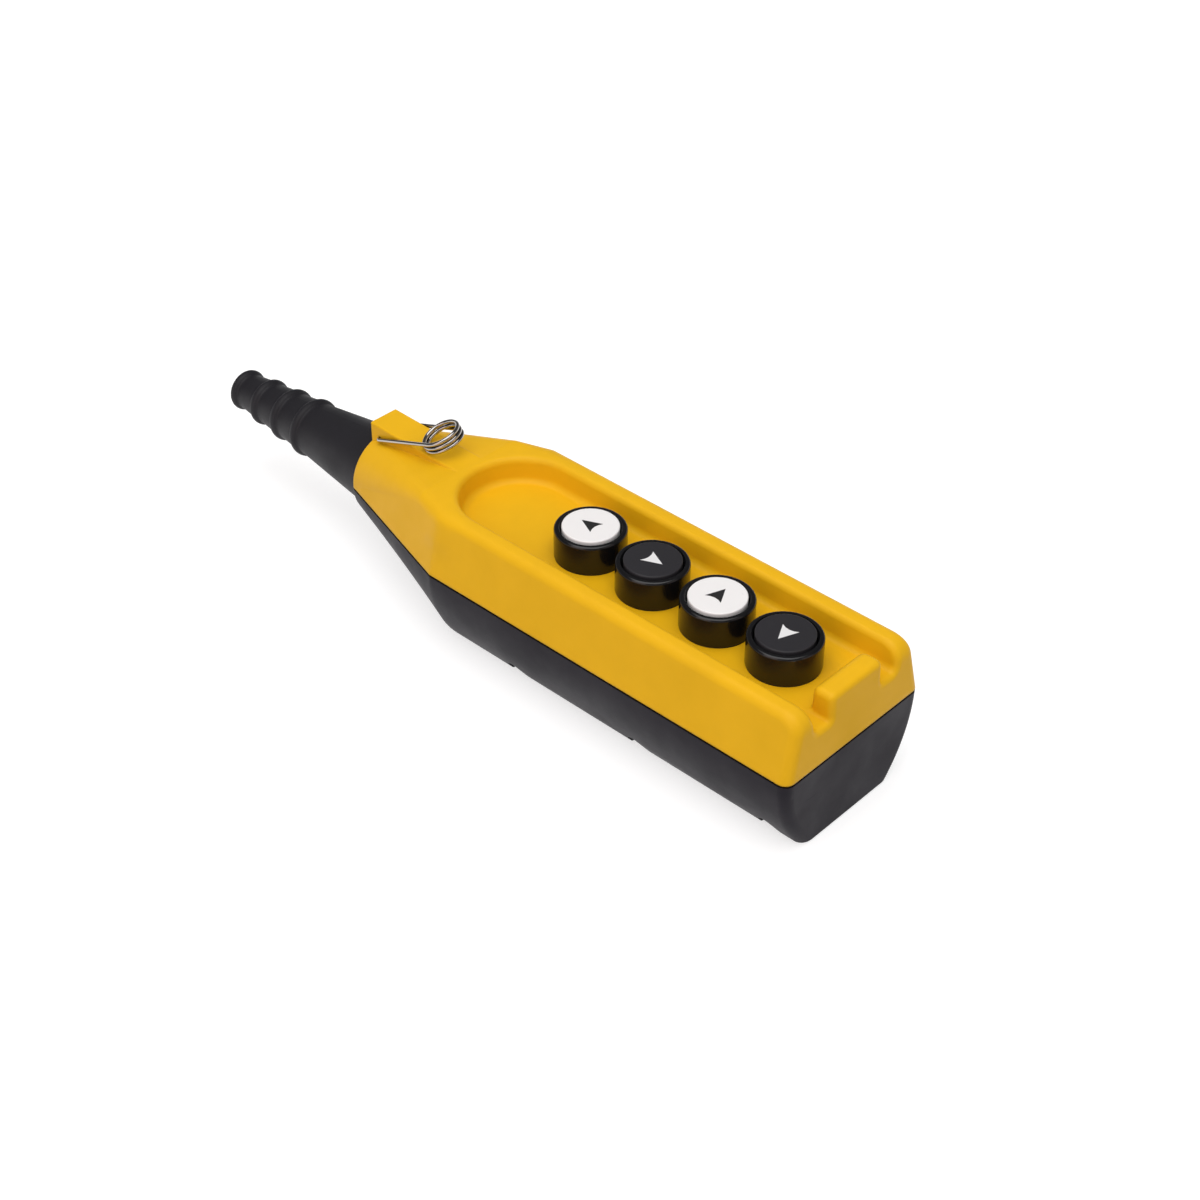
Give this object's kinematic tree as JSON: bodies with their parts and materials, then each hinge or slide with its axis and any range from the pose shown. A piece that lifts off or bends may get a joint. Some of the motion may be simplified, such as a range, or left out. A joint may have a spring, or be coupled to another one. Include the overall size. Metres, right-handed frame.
{
  "type": "crane pendant control",
  "caption": "Hand-held push-button pendant: a yellow cover on a dark base tapers to a ribbed rubber cable sleeve, with round arrow buttons in a sunk channel and a swinging wire hanger.",
  "frame": {"origin": "on the flat back, at the middle of the width and of the overall length", "axes": "+Y along the housing towards the cable sleeve, +Z out of the button face, +X to the right seen from the buttons"},
  "size_m": [0.0816, 0.358, 0.0783],
  "materials": {
    "yellow_cover": "satin moulded plastic, signal yellow",
    "dark_base": "satin moulded plastic, dark grey",
    "rubber_seal": "soft black rubber",
    "rubber_sleeve": "matt black rubber",
    "black_bezel": "glossy black plastic",
    "white_cap": "glossy white plastic",
    "black_cap": "glossy black plastic",
    "inner_plastic": "plain grey plastic",
    "block_plastic": "light grey insulating plastic",
    "bright_wire": "bright drawn spring wire",
    "zinc_screw": "zinc-plated steel",
    "zinc_plate": "zinc-plated sheet steel",
    "spring_steel": "oiled spring steel",
    "contact_brass": "bare brass"
  },
  "bodies": {
    "housing": {"front_cover": "yellow_cover", "rear_base": "dark_base", "housing_gasket": "rubber_seal", "housing_screws": "zinc_screw", "cable_sleeve": "rubber_sleeve", "cable_clamp": "inner_plastic", "clamp_screws": "zinc_screw", "mounting_plate": "zinc_plate", "plate_screws": "zinc_screw", "button_bezel_1": "black_bezel", "panel_seal_1": "rubber_seal", "lock_nut_1": "inner_plastic", "return_spring_1": "spring_steel", "contact_block_1": "block_plastic", "fixed_contacts_1": "contact_brass", "terminal_screws_1": "zinc_screw", "button_bezel_2": "black_bezel", "panel_seal_2": "rubber_seal", "lock_nut_2": "inner_plastic", "return_spring_2": "spring_steel", "contact_block_2": "block_plastic", "fixed_contacts_2": "contact_brass", "terminal_screws_2": "zinc_screw", "button_bezel_3": "black_bezel", "panel_seal_3": "rubber_seal", "lock_nut_3": "inner_plastic", "return_spring_3": "spring_steel", "contact_block_3": "block_plastic", "fixed_contacts_3": "contact_brass", "terminal_screws_3": "zinc_screw", "button_bezel_4": "black_bezel", "panel_seal_4": "rubber_seal", "lock_nut_4": "inner_plastic", "return_spring_4": "spring_steel", "contact_block_4": "block_plastic", "fixed_contacts_4": "contact_brass", "terminal_screws_4": "zinc_screw"},
    "button_1": {"button_cap_1": "white_cap", "plunger_1": "inner_plastic", "contact_bridge_1": "contact_brass"},
    "button_2": {"button_cap_2": "black_cap", "plunger_2": "inner_plastic", "contact_bridge_2": "contact_brass"},
    "button_3": {"button_cap_3": "white_cap", "plunger_3": "inner_plastic", "contact_bridge_3": "contact_brass"},
    "button_4": {"button_cap_4": "black_cap", "plunger_4": "inner_plastic", "contact_bridge_4": "contact_brass"},
    "hanger": {"hanger_ring": "bright_wire"}
  },
  "joints": [
    {"name": "button_1_press", "type": "slide", "parent": "housing", "child": "button_1", "axis": [0, 0, -1], "range_m": [0, 0.004], "stiffness_N_per_m": 1500, "springref_m": -0.003, "deforming": ["return_spring_1"]},
    {"name": "button_2_press", "type": "slide", "parent": "housing", "child": "button_2", "axis": [0, 0, -1], "range_m": [0, 0.004], "stiffness_N_per_m": 1500, "springref_m": -0.003, "deforming": ["return_spring_2"]},
    {"name": "button_3_press", "type": "slide", "parent": "housing", "child": "button_3", "axis": [0, 0, -1], "range_m": [0, 0.004], "stiffness_N_per_m": 1500, "springref_m": -0.003, "deforming": ["return_spring_3"]},
    {"name": "button_4_press", "type": "slide", "parent": "housing", "child": "button_4", "axis": [0, 0, -1], "range_m": [0, 0.004], "stiffness_N_per_m": 1500, "springref_m": -0.003, "deforming": ["return_spring_4"]},
    {"name": "hanger_swing", "type": "hinge", "parent": "housing", "child": "hanger", "pos_m": [0, 0.07575, 0.0603], "axis": [-1, 0, 0], "range_deg": [0, 160]}
  ]
}
